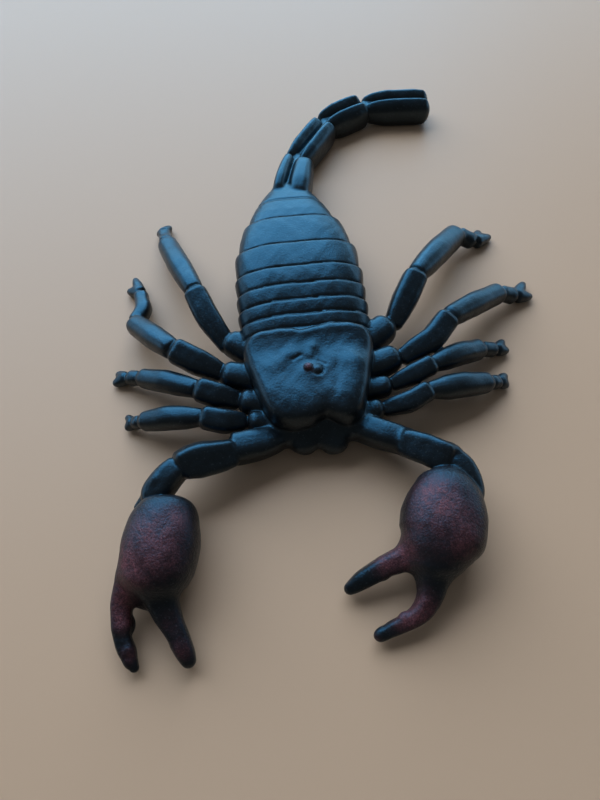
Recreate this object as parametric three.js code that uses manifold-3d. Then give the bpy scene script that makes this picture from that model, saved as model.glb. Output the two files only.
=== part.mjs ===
// A soft rubber toy scorpion, lying flat on its belly.
//
// The toy is one moulding of black rubber with red paint on the claws. It branches, so it is divided at its
// main forks: the trunk, the tail, eight legs, two claw arms and, at the narrow wrists, the two claws.
//
// Millimetres, +Z up. The origin is on the flat belly, on the trunk's midline, under the back edge of the head
// shield. The tail points to +Y and the mouth to -Y. Left and right are the animal's own, so its left is +X.
import * as THREE from "three";
import { mergeVertices } from "three/addons/utils/BufferGeometryUtils.js";
import Module from "manifold-3d";

const wasm = await Module();
wasm.setup();

// ---------------------------------------------------------------- driving dimensions
const GAP = 0.3; // parting gap at each fork
const BELLY_Z = 0; // the flat underside
const WIDEST_Z = 9; // height at which the trunk is widest
const TRUNK_SIDES = 24;
const LIMB_SIDES = 8;
const CLAW_SIDES = 14;
const TAIL_SIDES = 12;

// Head: [y, half width, top height], from the mouth back to the hind edge of the shield.
const HEAD = [
  [-31.6, 7.5, 6.6],
  [-30.0, 9.8, 8.8],
  [-28.4, 10.8, 11.6],
  [-27.0, 11.5, 13.8],
  [-25.2, 12.4, 15.7],
  [-22.6, 13.5, 16.9],
  [-19.5, 14.6, 17.2],
  [-14.0, 16.2, 17.0],
  [-8.0, 17.6, 16.9],
  [-3.8, 18.0, 17.3],
  [-1.2, 17.8, 17.5],
];
// Back plates: [y of the raised hind edge, half width there, top height there].
const PLATES = [
  [4.2, 18.7, 17.2],
  [9.3, 19.0, 17.3],
  [15.1, 19.2, 17.2],
  [22.0, 19.3, 16.8],
  [32.0, 18.6, 15.9],
  [44.6, 15.4, 14.0],
];
const PLATE_STEP = 0.8; // how far each plate stands above the one behind it
const LAST_PLATE = [
  [50.0, 12.8, 12.7],
  [55.0, 10.7, 11.8],
  [59.0, 8.5, 11.0],
  [62.0, 5.9, 10.1],
];
const EYE = { at: [0, -14.2, 16.9], half: [2.6, 2.4, 1.5] }; // eye mound on the shield
const JAWS = [
  // the two blunt mouth parts
  { at: [-3.0, -29.0, 4.6], half: [4.2, 3.7, 4.2] },
  { at: [3.7, -29.2, 4.6], half: [4.1, 4.1, 4.2] },
];

// Limbs: [x, y, z, half width, half height] along each one's middle line. The first station lies inside the
// trunk and is cut away there.
const LEGS = {
  leg_left_1: {
    path: [
      [9.0, -23.6, 6.8, 2.2],
      [16.2, -23.2, 7.0, 2.2],
      [18.3, -23.0, 7.0, 2.3],
      [20.2, -22.8, 7.6, 2.4],
      [26.0, -22.1, 8.9, 2.9],
      [31.4, -19.7, 9.8, 2.6],
      [41.2, -17.8, 7.6, 3.4],
      [50.3, -16.1, 4.7, 2.5],
      [53.9, -15.1, 2.7, 2.1],
    ],
    toes: [
      [57.1, -11.9, 1.0],
      [56.9, -15.7, 1.0],
    ],
  },
  leg_left_2: {
    path: [
      [10.0, -18.5, 7.3, 2.3],
      [17.2, -16.7, 7.5, 2.3],
      [20.4, -15.7, 7.5, 2.4],
      [23.5, -15.2, 7.8, 2.4],
      [28.5, -13.9, 9.4, 2.8],
      [33.8, -12.0, 10.6, 2.5],
      [42.5, -7.9, 8.0, 3.2],
      [50.5, -4.8, 4.8, 2.8],
      [55.8, -4.3, 2.7, 2.2],
    ],
    toes: [
      [59.4, -0.2, 1.0],
      [60.1, -3.8, 1.0],
    ],
  },
  leg_left_3: {
    path: [
      [11.0, -10.5, 7.3, 2.6],
      [18.5, -8.3, 7.5, 2.6],
      [23.9, -6.5, 7.5, 2.7],
      [27.5, -7.0, 8.1, 2.9],
      [34.9, -3.8, 10.1, 3.6],
      [41.1, 2.4, 11.8, 3.1],
      [50.5, 8.4, 8.9, 3.4],
      [60.9, 14.6, 5.3, 2.9],
      [66.8, 14.6, 2.7, 2.5],
    ],
    toes: [
      [71.7, 21.0, 1.0],
      [72.9, 15.5, 1.0],
    ],
  },
  leg_left_4: {
    path: [
      [12.0, -1.5, 7.3, 3.2],
      [19.6, 1.0, 7.5, 3.2],
      [23.4, 2.1, 7.5, 3.4],
      [26.3, 5.0, 8.1, 3.3],
      [30.8, 12.4, 10.1, 3.8],
      [34.8, 18.9, 12.0, 3.2],
      [44.1, 29.6, 9.1, 3.9],
      [53.1, 39.6, 5.3, 3.4],
      [59.5, 37.8, 2.7, 2.6],
    ],
    toes: [
      [66.0, 41.6, 1.0],
      [62.6, 44.2, 1.0],
    ],
  },
  leg_right_1: {
    path: [
      [-7.0, -24.2, 6.8, 2.2],
      [-13.5, -23.4, 7.0, 2.2],
      [-16.2, -22.7, 7.0, 2.3],
      [-20.6, -23.2, 7.6, 2.2],
      [-24.8, -23.3, 8.9, 3.2],
      [-30.1, -22.0, 9.8, 2.6],
      [-38.8, -20.3, 7.6, 3.2],
      [-47.1, -19.1, 4.7, 2.3],
      [-49.8, -18.3, 2.7, 1.9],
    ],
    toes: [
      [-52.2, -15.1, 1.0],
      [-52.4, -19.0, 1.0],
    ],
  },
  leg_right_2: {
    path: [
      [-8.0, -19.6, 7.3, 2.4],
      [-14.7, -18.1, 7.5, 2.4],
      [-18.0, -16.9, 7.5, 2.5],
      [-21.6, -16.4, 7.8, 2.4],
      [-26.2, -15.4, 9.4, 3.3],
      [-31.3, -13.7, 10.6, 2.7],
      [-39.7, -9.1, 8.0, 3.1],
      [-47.7, -5.2, 4.8, 2.4],
      [-52.0, -3.6, 2.7, 2.2],
    ],
    toes: [
      [-55.7, -0.7, 1.0],
      [-56.6, -4.1, 1.0],
    ],
  },
  leg_right_3: {
    path: [
      [-10.5, -12.0, 7.3, 2.8],
      [-17.8, -9.7, 7.5, 2.8],
      [-21.5, -7.5, 7.5, 2.8],
      [-25.6, -7.2, 8.1, 2.9],
      [-31.1, -4.7, 10.1, 3.6],
      [-37.5, -1.1, 11.8, 3.1],
      [-43.7, 5.9, 8.9, 3.4],
      [-50.2, 13.7, 5.3, 2.8],
      [-47.8, 19.7, 4.2, 2.5],
      [-49.1, 27.2, 2.7, 2.3],
    ],
    toes: [
      [-51.6, 34.7, 1.0],
      [-53.7, 29.8, 1.0],
    ],
  },
  leg_right_4: {
    path: [
      [-11.0, -3.5, 7.3, 3.1],
      [-18.6, -0.3, 7.5, 3.1],
      [-20.8, 1.5, 7.5, 3.3],
      [-23.0, 2.0, 8.1, 3.0],
      [-27.9, 10.8, 10.1, 3.5],
      [-31.2, 18.9, 12.0, 3.0],
      [-36.1, 31.6, 9.1, 3.5],
      [-40.7, 44.5, 5.3, 3.0],
      [-42.1, 51.9, 2.7, 2.2],
    ],
    toes: [
      [-44.6, 53.3, 1.0],
      [-40.5, 56.1, 1.0],
    ],
  },
};

const ARMS = {
  arm_left: [
    [5.0, -26.5, 6.0, 3.4],
    [11.7, -29.4, 6.8, 3.3],
    [16.4, -31.2, 7.3, 3.4],
    [20.2, -32.6, 7.9, 3.4],
    [23.6, -34.6, 8.8, 3.7],
    [27.0, -36.9, 9.8, 4.0],
    [30.1, -39.2, 10.6, 4.0],
    [33.4, -41.4, 10.7, 3.6],
    [35.2, -44.4, 9.9, 3.5],
    [36.1, -48.6, 8.7, 3.4],
    [35.8, -51.4, 8.2, 2.9],
  ],
  arm_right: [
    [-5.0, -27.0, 6.0, 3.6],
    [-11.7, -29.6, 6.8, 3.6],
    [-18.1, -30.8, 7.5, 4.0],
    [-22.4, -31.8, 8.0, 3.8],
    [-26.3, -33.4, 9.2, 4.1],
    [-30.8, -34.4, 10.3, 4.4],
    [-34.7, -35.7, 11.1, 3.9],
    [-38.0, -37.8, 10.4, 3.6],
    [-40.4, -40.1, 9.6, 3.7],
    [-42.1, -42.4, 8.8, 3.6],
    [-41.9, -44.9, 8.4, 3.0],
  ],
};

// Claws: the hand, then its two fingers.
const CLAWS = {
  claw_left: {
    hand: [
      [30.2, -42.4, 8.6, 3.4, 3.6],
      [30.2, -44.0, 8.7, 5.2, 5.5],
      [29.8, -46.3, 8.8, 7.1, 7.2],
      [29.0, -50.7, 9.0, 9.5, 8.4],
      [27.9, -55.0, 9.0, 10.5, 8.7],
      [26.7, -59.2, 8.9, 10.3, 8.5],
      [25.2, -62.6, 8.5, 8.7, 7.6],
      [24.2, -65.4, 7.8, 6.9, 6.2],
      [23.3, -68.6, 6.8, 4.9, 4.6],
    ],
    fingers: [
      [
        [23.5, -60.4, 7.2, 4.0, 4.0],
        [19.0, -62.3, 6.9, 3.4, 3.4],
        [16.0, -63.5, 6.4, 3.0, 3.0],
        [12.6, -64.4, 5.7, 2.6, 2.6],
        [9.5, -65.6, 4.9, 2.5, 2.5],
        [6.3, -66.9, 4.0, 2.2, 2.2],
        [3.9, -68.1, 3.2, 1.6, 1.6],
        [2.2, -68.8, 2.6, 1.1, 1.1],
      ],
      [
        [23.9, -64.6, 7.4, 5.0, 4.8],
        [22.7, -69.0, 6.6, 3.6, 3.6],
        [21.4, -72.7, 5.6, 2.8, 2.8],
        [19.0, -75.6, 4.6, 2.4, 2.4],
        [15.7, -77.2, 3.8, 2.0, 2.0],
        [12.0, -78.4, 3.2, 1.8, 1.8],
        [9.6, -79.3, 2.8, 1.4, 1.4],
        [7.8, -80.0, 2.4, 1.0, 1.0],
      ],
    ],
  },
  claw_right: {
    hand: [
      [-38.6, -43.6, 8.6, 4.6, 4.8],
      [-38.7, -45.0, 8.7, 6.2, 6.4],
      [-39.1, -47.4, 8.8, 7.6, 7.7],
      [-39.9, -51.0, 8.9, 8.8, 8.3],
      [-40.6, -55.1, 8.9, 9.3, 8.5],
      [-41.5, -59.7, 8.6, 8.9, 8.1],
      [-42.8, -63.1, 7.8, 7.6, 7.0],
      [-43.5, -65.6, 6.9, 5.4, 5.2],
    ],
    fingers: [
      [
        [-45.8, -58.6, 7.4, 4.0, 4.0],
        [-47.7, -62.0, 6.9, 3.6, 3.6],
        [-49.2, -64.6, 6.2, 3.0, 3.0],
        [-50.2, -66.8, 5.4, 2.5, 2.5],
        [-50.4, -69.4, 4.7, 2.4, 2.4],
        [-50.3, -72.1, 4.1, 2.4, 2.4],
        [-50.2, -74.4, 3.6, 2.0, 2.0],
        [-49.4, -76.8, 3.0, 2.1, 2.1],
        [-48.4, -79.2, 2.6, 1.6, 1.6],
        [-47.2, -81.8, 2.0, 0.8, 0.8],
      ],
      [
        [-41.8, -62.6, 7.2, 4.8, 4.8],
        [-40.4, -68.4, 6.1, 3.2, 3.2],
        [-38.8, -72.2, 5.2, 2.8, 2.8],
        [-37.4, -75.1, 4.6, 2.5, 2.5],
        [-36.3, -77.9, 4.0, 2.4, 2.4],
        [-35.4, -80.1, 3.2, 1.9, 1.9],
        [-34.8, -82.2, 2.6, 1.2, 1.2],
      ],
    ],
  },
};

// Tail: four joints of nearly square section with a furrow along the top, and necks between them.
const TAIL = [
  [0.3, 57.6, 7.0, 6.0, 5.4],
  [1.0, 60.6, 6.7, 6.4, 5.6],
  [2.3, 65.6, 6.4, 6.8, 5.9],
  [3.9, 71.5, 6.1, 6.1, 5.6],
  [5.1, 76.2, 5.8, 5.3, 5.1],
  [5.5, 78.2, 5.6, 3.8, 3.8],
  [6.4, 80.4, 5.4, 4.8, 4.6],
  [8.7, 83.8, 5.3, 5.2, 5.0],
  [12.9, 89.9, 5.2, 5.3, 4.9],
  [16.2, 94.8, 5.1, 5.1, 4.8],
  [17.5, 96.9, 5.0, 3.8, 3.7],
  [19.4, 98.7, 5.0, 4.8, 4.6],
  [22.3, 100.2, 5.0, 5.2, 4.9],
  [27.5, 102.7, 4.9, 5.3, 4.9],
  [31.6, 104.7, 4.9, 5.1, 4.7],
  [33.9, 105.4, 4.9, 3.8, 3.7],
  [36.4, 105.5, 4.9, 4.8, 4.5],
  [41.7, 105.3, 4.9, 5.2, 4.8],
  [49.4, 105.0, 4.8, 5.3, 4.8],
  [55.6, 104.7, 4.8, 5.1, 4.6],
  [57.2, 104.7, 4.8, 4.0, 3.8],
];

// ---------------------------------------------------------------- shape helpers
const UP = new THREE.Vector3(0, 0, 1);

// A closed three.js geometry as a solid.
function solid(geometry) {
  geometry.deleteAttribute("normal");
  geometry.deleteAttribute("uv");
  const g = mergeVertices(geometry, 1e-4);
  return new wasm.Manifold(
    new wasm.Mesh({
      numProp: 3,
      vertProperties: new Float32Array(g.attributes.position.array),
      triVerts: new Uint32Array(g.index.array),
    }),
  );
}

// A point of a squared circle: power 2 is a circle, and more is squarer.
function squared(c, s, power) {
  return [
    Math.sign(c) * Math.abs(c) ** (2 / power),
    Math.sign(s) * Math.abs(s) ** (2 / power),
  ];
}

// Stations with more of them between, on a smooth curve.
function refined(stations, per) {
  const curve = new THREE.CatmullRomCurve3(
    stations.map((s) => new THREE.Vector3(s[0], s[1], s[2])),
    false,
    "centripetal",
  );
  const spans = stations.length - 1;
  const out = [];
  for (let k = 0; k <= spans * per; k++) {
    const t = k / per;
    const i = Math.min(Math.floor(t), spans - 1);
    const f = t - i;
    const e = f * f * (3 - 2 * f);
    const a = stations[i];
    const b = stations[i + 1];
    const p = curve.getPoint(t / spans);
    const mix = (j) => {
      const u = a[j] ?? a[3];
      const v = b[j] ?? b[3];
      return u + (v - u) * e;
    };
    out.push([p.x, p.y, p.z, mix(3), mix(4)]);
  }
  return out;
}

// A closed limb through the stations: a cylinder whose rings are set across the path.
// section(angle) gives the two offsets of a ring's point, for unit half width and half height.
function limb(stations, { sides, per = 1, extra = 0, power = 2.2, section } = {}) {
  const rows = per > 1 ? refined(stations, per) : stations;
  const n = rows.length - 1;
  const g = new THREE.CylinderGeometry(1, 1, 1, sides, n, false);
  const pos = g.attributes.position;
  const at = rows.map((r) => new THREE.Vector3(r[0], r[1], r[2]));
  const frames = at.map((p, i) => {
    const t = at[Math.min(i + 1, n)].clone().sub(at[Math.max(i - 1, 0)]).normalize();
    const side = UP.clone().cross(t).normalize();
    return { t, side, up: t.clone().cross(side) };
  });
  const v = new THREE.Vector3();
  for (let k = 0; k < pos.count; k++) {
    v.fromBufferAttribute(pos, k);
    const i = Math.round((0.5 - v.y) * n);
    const r = rows[i];
    const f = frames[i];
    const radius = Math.hypot(v.x, v.z);
    let [c, s] = [0, 0];
    if (radius > 0.5) {
      [c, s] = section
        ? section(Math.atan2(v.z, v.x))
        : squared(v.x / radius, v.z / radius, power);
    }
    const a = r[3] + extra;
    const b = (r[4] ?? r[3]) + extra;
    const end = i === 0 ? -extra : i === n ? extra : 0;
    const p = at[i]
      .clone()
      .addScaledVector(f.side, c * a)
      .addScaledVector(f.up, s * b)
      .addScaledVector(f.t, end);
    pos.setXYZ(k, p.x, p.y, p.z);
  }
  return solid(g);
}

function ellipsoid({ at, half }, extra = 0, w = 12, h = 8) {
  const g = new THREE.SphereGeometry(1, w, h);
  g.scale(half[0] + extra, half[1] + extra, half[2] + extra);
  g.translate(at[0], at[1], at[2]);
  return solid(g);
}

const box = new THREE.BoxGeometry(400, 400, 40);
box.translate(0, 0, BELLY_Z - 20);
const belowFloor = solid(box);

// ---------------------------------------------------------------- trunk
// Rings across the midline: squarish above, flatter below.
function trunkSolid(extra) {
  const rows = HEAD.map((r) => [...r]);
  for (const [y, w, top] of PLATES) {
    const before = rows[rows.length - 1];
    rows.push([before[0] + 0.7, before[1] - 0.5, before[2] - PLATE_STEP]);
    rows.push([y - 0.9, w, top]);
    rows.push([y, w - 0.25, top - 0.3]);
  }
  const before = rows[rows.length - 1];
  rows.push([before[0] + 0.7, before[1] - 0.5, before[2] - PLATE_STEP]);
  rows.push(...LAST_PLATE.map((r) => [...r]));
  const n = rows.length - 1;
  rows[0][0] -= extra;
  rows[n][0] += extra;
  const g = new THREE.CylinderGeometry(1, 1, 1, TRUNK_SIDES, n, false);
  const pos = g.attributes.position;
  const v = new THREE.Vector3();
  for (let k = 0; k < pos.count; k++) {
    v.fromBufferAttribute(pos, k);
    const i = Math.round((0.5 - v.y) * n);
    const [y, w, top] = rows[i];
    const mid = Math.min(WIDEST_Z, 0.6 * top);
    const radius = Math.hypot(v.x, v.z);
    let [c, s] = radius > 0.5 ? [v.x / radius, v.z / radius] : [0, 0];
    [c, s] = squared(c, s, s > 0 ? 2.9 : 3.2);
    // the rings run from the mouth to the tail, so a ring's own left is -X
    const z = mid + s * (s > 0 ? top - mid + extra : mid - BELLY_Z + 0.6 + extra);
    pos.setXYZ(k, -c * (w + extra), y, z);
  }
  let body = solid(g);
  body = body.add(ellipsoid(EYE, extra, 10, 6));
  for (const jaw of JAWS) body = body.add(ellipsoid(jaw, extra));
  return body;
}

const trunk = trunkSolid(0).subtract(belowFloor);
const trunkCutter = trunkSolid(GAP);

// ---------------------------------------------------------------- limbs
// One leg: hip, thigh, shin and foot in one tube, and two toes.
function legSolid({ path, toes }) {
  const foot = path[path.length - 1];
  const tube = [...path];
  const last = path[path.length - 2];
  const d = new THREE.Vector3(foot[0] - last[0], foot[1] - last[1], 0).normalize();
  tube.push([foot[0] + d.x * 1.8, foot[1] + d.y * 1.8, foot[2] - 0.7, foot[3] * 0.6]);
  let body = limb(tube, { sides: LIMB_SIDES, per: 2 });
  for (const toe of toes) {
    body = body.add(
      limb(
        [
          [foot[0], foot[1], foot[2] - 0.5, 1.6],
          [(foot[0] + toe[0]) / 2, (foot[1] + toe[1]) / 2, 1.7, 1.3],
          [toe[0], toe[1], toe[2], 0.6],
        ],
        { sides: 6 },
      ),
    );
  }
  return body.subtract(trunkCutter).subtract(belowFloor);
}

function clawSolid({ hand, fingers }, extra) {
  let body = limb(hand, { sides: CLAW_SIDES, extra });
  for (const f of fingers) body = body.add(limb(f, { sides: 10, extra }));
  return body;
}

// Square-shouldered ring with a furrow along the top.
function tailSection(angle) {
  const [c, s] = squared(Math.cos(angle), Math.sin(angle), 2.6);
  const near = Math.max(0, 1 - Math.abs(c) / 0.45);
  return [c, s > 0 ? s - 0.26 * near : s];
}

const solids = { trunk };
solids.tail = limb(TAIL, { sides: TAIL_SIDES, section: tailSection })
  .subtract(trunkCutter)
  .subtract(belowFloor);
for (const [name, leg] of Object.entries(LEGS)) solids[name] = legSolid(leg);
for (const side of ["left", "right"]) {
  const claw = CLAWS["claw_" + side];
  solids["claw_" + side] = clawSolid(claw, 0).subtract(belowFloor);
  solids["arm_" + side] = limb(ARMS["arm_" + side], { sides: 10 })
    .subtract(trunkCutter)
    .subtract(clawSolid(claw, GAP));
}

// ---------------------------------------------------------------- scene graph
function finish(name) {
  const painted = name.startsWith("claw");
  return new THREE.MeshStandardMaterial({
    color: painted ? 0x3f2023 : 0x15191c,
    roughness: painted ? 0.5 : 0.55,
    metalness: 0,
  });
}

const scorpion = new THREE.Group();
for (const [name, body] of Object.entries(solids)) {
  const m = body.getMesh();
  const points = new Float32Array(m.numVert * 3);
  for (let i = 0; i < m.numVert; i++)
    points.set(m.vertProperties.subarray(i * m.numProp, i * m.numProp + 3), i * 3);
  const g = new THREE.BufferGeometry();
  g.setAttribute("position", new THREE.BufferAttribute(points, 3));
  g.setIndex(new THREE.BufferAttribute(new Uint32Array(m.triVerts), 1));
  g.computeVertexNormals();
  const mesh = new THREE.Mesh(g, finish(name));
  mesh.name = name;
  scorpion.add(mesh);
}

export default scorpion;
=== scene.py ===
"""A soft rubber toy scorpion: its skin, finish, light and camera.

The whole toy is modelled as one continuous moulded skin. Every limb is made of closed lofts, whose distance
fields are joined with small fillets, and the joined field is meshed once. The mesh is then divided at the forks,
so that each piece stands for one node and meets its neighbours along the same points and normals.

All shapes below are in millimetres in the shared frame: +Z up, the tail to +Y, the animal's left to +X.
"""

import math

import bpy
import numpy as np
import openvdb as vdb
from mathutils import Matrix, Vector


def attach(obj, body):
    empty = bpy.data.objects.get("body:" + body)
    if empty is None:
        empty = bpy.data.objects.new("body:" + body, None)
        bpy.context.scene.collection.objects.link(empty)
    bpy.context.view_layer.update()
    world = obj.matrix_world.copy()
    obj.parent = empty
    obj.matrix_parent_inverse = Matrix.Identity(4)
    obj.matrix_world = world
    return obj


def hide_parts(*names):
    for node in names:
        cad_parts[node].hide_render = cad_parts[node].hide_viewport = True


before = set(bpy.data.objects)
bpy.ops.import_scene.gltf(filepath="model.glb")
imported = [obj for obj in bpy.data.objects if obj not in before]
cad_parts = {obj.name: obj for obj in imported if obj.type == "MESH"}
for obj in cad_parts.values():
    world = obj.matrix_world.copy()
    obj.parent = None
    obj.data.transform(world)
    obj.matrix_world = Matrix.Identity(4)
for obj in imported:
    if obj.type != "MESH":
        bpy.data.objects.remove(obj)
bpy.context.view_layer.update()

STEP = 0.36  # grid spacing of the skin
BAND = 8  # half width of each distance field, in grid steps
FAR = BAND * STEP


# ------------------------------------------------------------------ curves and lofts
def hermite(s, v, q, monotone=False):
    """Values v (m, c) at s (m), read at q (n) on a smooth curve. monotone never overshoots."""
    h = np.diff(s)
    d = np.diff(v, axis=0) / h[:, None]
    m = np.empty_like(v)
    m[0], m[-1] = d[0], d[-1]
    if len(s) > 2:
        a, b = d[:-1], d[1:]
        w0, w1 = h[1:, None], h[:-1, None]
        m[1:-1] = (a * w0 + b * w1) / (w0 + w1)
        if monotone:
            with np.errstate(divide="ignore", invalid="ignore"):
                even = (w0 + w1) * 3 / ((2 * w0 + w1) / a + (w0 + 2 * w1) / b)
            m[1:-1] = np.where(a * b > 0, even, 0.0)
    i = np.clip(np.searchsorted(s, q, side="right") - 1, 0, len(s) - 2)
    t = ((q - s[i]) / h[i])[:, None]
    hi = h[i][:, None]
    return (
        (1 + 2 * t) * (1 - t) ** 2 * v[i]
        + t * (1 - t) ** 2 * hi * m[i]
        + t * t * (3 - 2 * t) * v[i + 1]
        + t * t * (t - 1) * hi * m[i + 1]
    )


def lookup(table, q):
    t = np.asarray(table, float)
    return hermite(t[:, 0], t[:, 1:], np.asarray(q, float).ravel(), True)[:, 0].reshape(np.shape(q))


def tube_faces(n, sides):
    """Triangles of n rings of points, closed by a fan at each end. The two middles come after the rings."""
    i = np.arange(n - 1)[:, None] * sides
    j = np.arange(sides)[None, :]
    k = (j + 1) % sides
    a, b, c, d = i + j, i + k, i + sides + k, i + sides + j
    quads = np.stack([a, b, c, d], -1).reshape(-1, 4)
    tris = np.concatenate([quads[:, [0, 1, 2]], quads[:, [0, 2, 3]]])
    first, last = n * sides, n * sides + 1
    j = np.arange(sides)
    k = (j + 1) % sides
    caps = np.concatenate(
        [
            np.stack([np.full(sides, first), k, j], -1),
            np.stack([np.full(sides, last), (n - 1) * sides + j, (n - 1) * sides + k], -1),
        ]
    )
    return np.concatenate([tris, caps]).astype(np.uint32)


def loft(rows, ends=(0.7, 0.7), power=2.2, sides=36, section=None, wave=None, roll=0.0):
    """A closed limb along rows of x, y, z, half width and, if it isn't the same, half height.
    ends: how much of its radius each end takes to close. power: 2 is round, more is squarer.
    section(angle, share) gives the ring's two unit offsets. wave(share) scales the rings along the limb."""
    rows = np.array([list(r) + [r[3]] * (5 - len(r)) for r in rows], float)
    knot = np.concatenate([[0], np.cumsum(np.linalg.norm(np.diff(rows[:, :3], axis=0), axis=1))])
    total = knot[-1]
    r0, r1 = max(ends[0] * rows[0, 3], 0.05), max(ends[1] * rows[-1, 3], 0.05)
    cap = 1 - np.cos(np.linspace(0, math.pi / 2, 9))
    s = np.unique(
        np.round(
            np.concatenate([cap * min(r0, total / 2), np.arange(0, total, 0.45), total - cap * min(r1, total / 2)]), 4
        )
    )
    mid = hermite(knot, rows[:, :3], s)
    size = hermite(knot, rows[:, 3:5], s, True)
    close = np.ones(len(s))
    for r, away in ((r0, s), (r1, total - s)):
        u = np.clip(away / r, 0, 1)
        close *= np.sqrt(np.clip(1 - (1 - u) ** 2, 0.0004, 1))
    tangent = np.gradient(mid, s, axis=0)
    tangent /= np.linalg.norm(tangent, axis=1)[:, None]
    side = np.cross([0, 0, 1.0], tangent)
    side /= np.linalg.norm(side, axis=1)[:, None]
    up = np.cross(tangent, side)
    if roll:
        side, up = side * math.cos(roll) + up * math.sin(roll), up * math.cos(roll) - side * math.sin(roll)
    angle = np.linspace(0, 2 * math.pi, sides, endpoint=False)
    share = s / total
    if section is None:
        c, z = np.cos(angle), np.sin(angle)
        c, z = (np.sign(v) * np.abs(v) ** (2 / power) for v in (c, z))
        c, z = np.tile(c, (len(s), 1)), np.tile(z, (len(s), 1))
    else:
        c, z = section(angle[None, :], share[:, None])
    if wave is not None:
        close = close * wave(share)
    ring = (
        mid[:, None, :]
        + side[:, None, :] * (c * (size[:, 0] * close)[:, None])[:, :, None]
        + up[:, None, :] * (z * (size[:, 1] * close)[:, None])[:, :, None]
    )
    points = np.concatenate([ring.reshape(-1, 3), mid[:1], mid[-1:]])
    return points, tube_faces(len(s), sides)


def slanted(power, slope):
    """A squarish ring, whose upper half is higher on its left."""

    def section(angle, share):
        c, z = (np.sign(v) * np.abs(v) ** (2 / power) + 0 * share for v in (np.cos(angle), np.sin(angle)))
        return c, np.where(z > 0, z * (1 + slope * c), z)

    return section


def ball(at, half, turn=0.0):
    """An ellipsoid, turned about the vertical."""
    n, sides = 20, 32
    lat = np.linspace(0.02, math.pi - 0.02, n)
    lon = np.linspace(0, 2 * math.pi, sides, endpoint=False)
    p = np.stack(
        [
            np.sin(lat)[:, None] * np.cos(lon)[None, :],
            np.sin(lat)[:, None] * np.sin(lon)[None, :],
            np.cos(lat)[:, None] * np.ones(sides)[None, :],
        ],
        -1,
    ).reshape(-1, 3)
    p = np.concatenate([p, [[0, 0, 1], [0, 0, -1]]]) * np.asarray(half, float)
    c, s = math.cos(turn), math.sin(turn)
    p = p @ np.array([[c, s, 0], [-s, c, 0], [0, 0, 1.0]])
    return p + np.asarray(at, float), tube_faces(n, sides)


# ------------------------------------------------------------------ distance fields
def smin(a, b, k):
    if k <= 0:
        return np.minimum(a, b)
    h = np.clip(0.5 + 0.5 * (b - a) / k, 0, 1)
    return b + (a - b) * h - k * h * (1 - h)


def smax(a, b, k):
    return -smin(-a, -b, k)


GRID = vdb.createLinearTransform(voxelSize=STEP)


class Field:
    """A distance field on a box of grid points."""

    def __init__(self, lo, hi):
        self.at = np.floor(np.asarray(lo, float) / STEP).astype(int) - BAND - 2
        top = np.ceil(np.asarray(hi, float) / STEP).astype(int) + BAND + 3
        self.a = np.full(top - self.at, FAR, np.float32)

    def axes(self):
        return [
            ((self.at[i] + np.arange(self.a.shape[i])) * STEP).reshape([-1 if j == i else 1 for j in range(3)])
            for i in range(3)
        ]

    def spot(self, other):
        """This field's part that another field's box covers, and the other's part that lies in this one."""
        lo = np.maximum(self.at, other.at)
        hi = np.minimum(self.at + self.a.shape, other.at + other.a.shape)
        mine = tuple(slice(l - a, h - a) for l, h, a in zip(lo, hi, self.at))
        its = tuple(slice(l - a, h - a) for l, h, a in zip(lo, hi, other.at))
        return mine, its

    def join(self, other, k):
        mine, its = self.spot(other)
        self.a[mine] = smin(self.a[mine], other.a[its], k)

    def carve(self, other, k):
        mine, its = self.spot(other)
        self.a[mine] = smax(self.a[mine], -other.a[its], k)

    def read(self, p):
        """The field at points, between grid points on straight lines. Far away outside the box."""
        q = np.asarray(p, float) / STEP - self.at
        n = np.array(self.a.shape) - 1
        outside = ((q < 0) | (q >= n)).any(1)
        q = np.clip(q, 0, n - 1e-6)
        i = q.astype(int)
        f = q - i
        out = np.zeros(len(q))
        for dx in (0, 1):
            for dy in (0, 1):
                for dz in (0, 1):
                    w = (
                        (f[:, 0] if dx else 1 - f[:, 0])
                        * (f[:, 1] if dy else 1 - f[:, 1])
                        * (f[:, 2] if dz else 1 - f[:, 2])
                    )
                    out += w * self.a[i[:, 0] + dx, i[:, 1] + dy, i[:, 2] + dz]
        out[outside] = FAR
        return out


def field_of(shape):
    points, tris = shape
    f = Field(points.min(0), points.max(0))
    g = vdb.FloatGrid.createLevelSetFromPolygons(
        points.astype(np.float32), triangles=tris, transform=GRID, halfWidth=float(BAND)
    )
    g.copyToArray(f.a, ijk=tuple(int(v) for v in f.at))
    return f


def group(parts):
    """Shapes joined in turn: (shape, fillet) each."""
    fields = [(field_of(s), k) for s, k in parts]
    lo = np.min([f.at for f, _ in fields], axis=0)
    hi = np.max([f.at + f.a.shape for f, _ in fields], axis=0)
    whole = Field([0, 0, 0], [0, 0, 0])
    whole.at = lo
    whole.a = np.full(hi - lo, FAR, np.float32)
    for f, k in fields:
        whole.join(f, k)
    return whole


def unit(v):
    v = np.asarray(v, float)
    return v / np.linalg.norm(v)


def bump(x, y, at, wide, turn=0.0):
    """A soft bump of height 1."""
    c, s = math.cos(turn), math.sin(turn)
    u, v = x - at[0], y - at[1]
    u, v = u * c + v * s, v * c - u * s
    return np.exp(-((u / wide[0]) ** 2) - (v / wide[1]) ** 2)


def furrow(x, y, a, b, wide):
    """Height 1 along a line from a to b, fading at its sides and ends."""
    a, b = np.asarray(a, float), np.asarray(b, float)
    d = b - a
    t = np.clip(((x - a[0]) * d[0] + (y - a[1]) * d[1]) / (d @ d), 0, 1)
    return np.exp(-(((x - a[0] - t * d[0]) ** 2 + (y - a[1] - t * d[1]) ** 2) / wide**2))


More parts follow.
